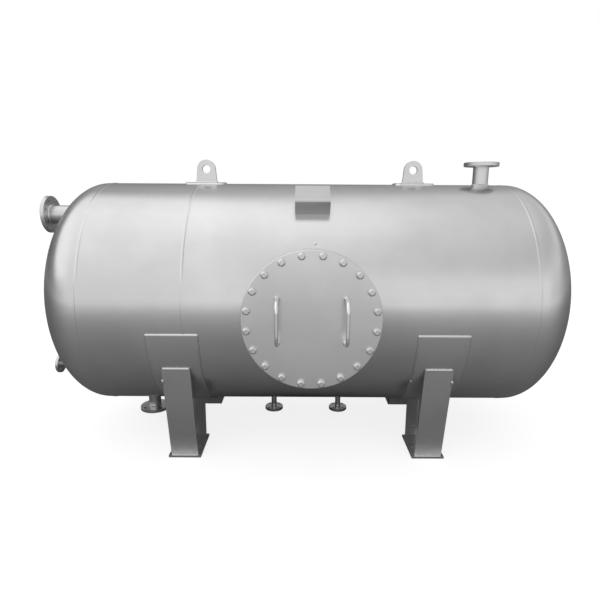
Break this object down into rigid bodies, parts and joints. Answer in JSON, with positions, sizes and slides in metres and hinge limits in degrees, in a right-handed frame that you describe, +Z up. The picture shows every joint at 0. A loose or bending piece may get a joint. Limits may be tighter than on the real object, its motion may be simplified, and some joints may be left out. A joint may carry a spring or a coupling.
{
  "type": "horizontal pressure tank",
  "caption": "Horizontal welded pressure tank with dished ends, a bolted manhole, flanged nozzles and lifting lugs, on four plate legs, for storing liquid or gas under pressure.",
  "frame": {"origin": "on the ground, midway between the four legs and under the tank axis", "axes": "+X along the tank towards the end without nozzles, -Y out of the manhole, +Z up"},
  "size_m": [3.083, 1.505, 1.65],
  "materials": {
    "shell_paint": "satin silver-grey paint",
    "manhole_paint": "satin silver-grey paint",
    "fitting_paint": "satin silver-grey paint",
    "leg_paint": "satin silver-grey paint",
    "gasket_rubber": "matt"
  },
  "bodies": {
    "root": {"bottom_left_nozzle_flange": "fitting_paint", "bottom_left_nozzle_pipe": "fitting_paint", "bottom_right_nozzle_flange": "fitting_paint", "bottom_right_nozzle_pipe": "fitting_paint", "drain_nozzle_flange": "fitting_paint", "drain_nozzle_pipe": "fitting_paint", "left_back_leg_foot": "leg_paint", "left_back_leg_inner_plate": "leg_paint", "left_back_leg_outer_plate": "leg_paint", "left_back_leg_web": "leg_paint", "left_belly_pad": "leg_paint", "left_cover_handle": "manhole_paint", "left_front_leg_foot": "leg_paint", "left_front_leg_inner_plate": "leg_paint", "left_front_leg_outer_plate": "leg_paint", "left_front_leg_web": "leg_paint", "left_head": "shell_paint", "left_lifting_lug": "fitting_paint", "left_lug_pad": "fitting_paint", "long_course": "shell_paint", "lower_end_nozzle_flange": "fitting_paint", "lower_end_nozzle_pipe": "fitting_paint", "manhole_cover": "manhole_paint", "manhole_flange": "manhole_paint", "manhole_gasket": "gasket_rubber", "manhole_neck": "manhole_paint", "nameplate_bracket": "fitting_paint", "right_back_leg_foot": "leg_paint", "right_back_leg_inner_plate": "leg_paint", "right_back_leg_outer_plate": "leg_paint", "right_back_leg_web": "leg_paint", "right_belly_pad": "leg_paint", "right_cover_handle": "manhole_paint", "right_front_leg_foot": "leg_paint", "right_front_leg_inner_plate": "leg_paint", "right_front_leg_outer_plate": "leg_paint", "right_front_leg_web": "leg_paint", "right_head": "shell_paint", "right_lifting_lug": "fitting_paint", "right_lug_pad": "fitting_paint", "short_course": "shell_paint", "top_nozzle_flange": "fitting_paint", "top_nozzle_pipe": "fitting_paint", "upper_end_nozzle_flange": "fitting_paint", "upper_end_nozzle_pipe": "fitting_paint"}
  },
  "joints": []
}
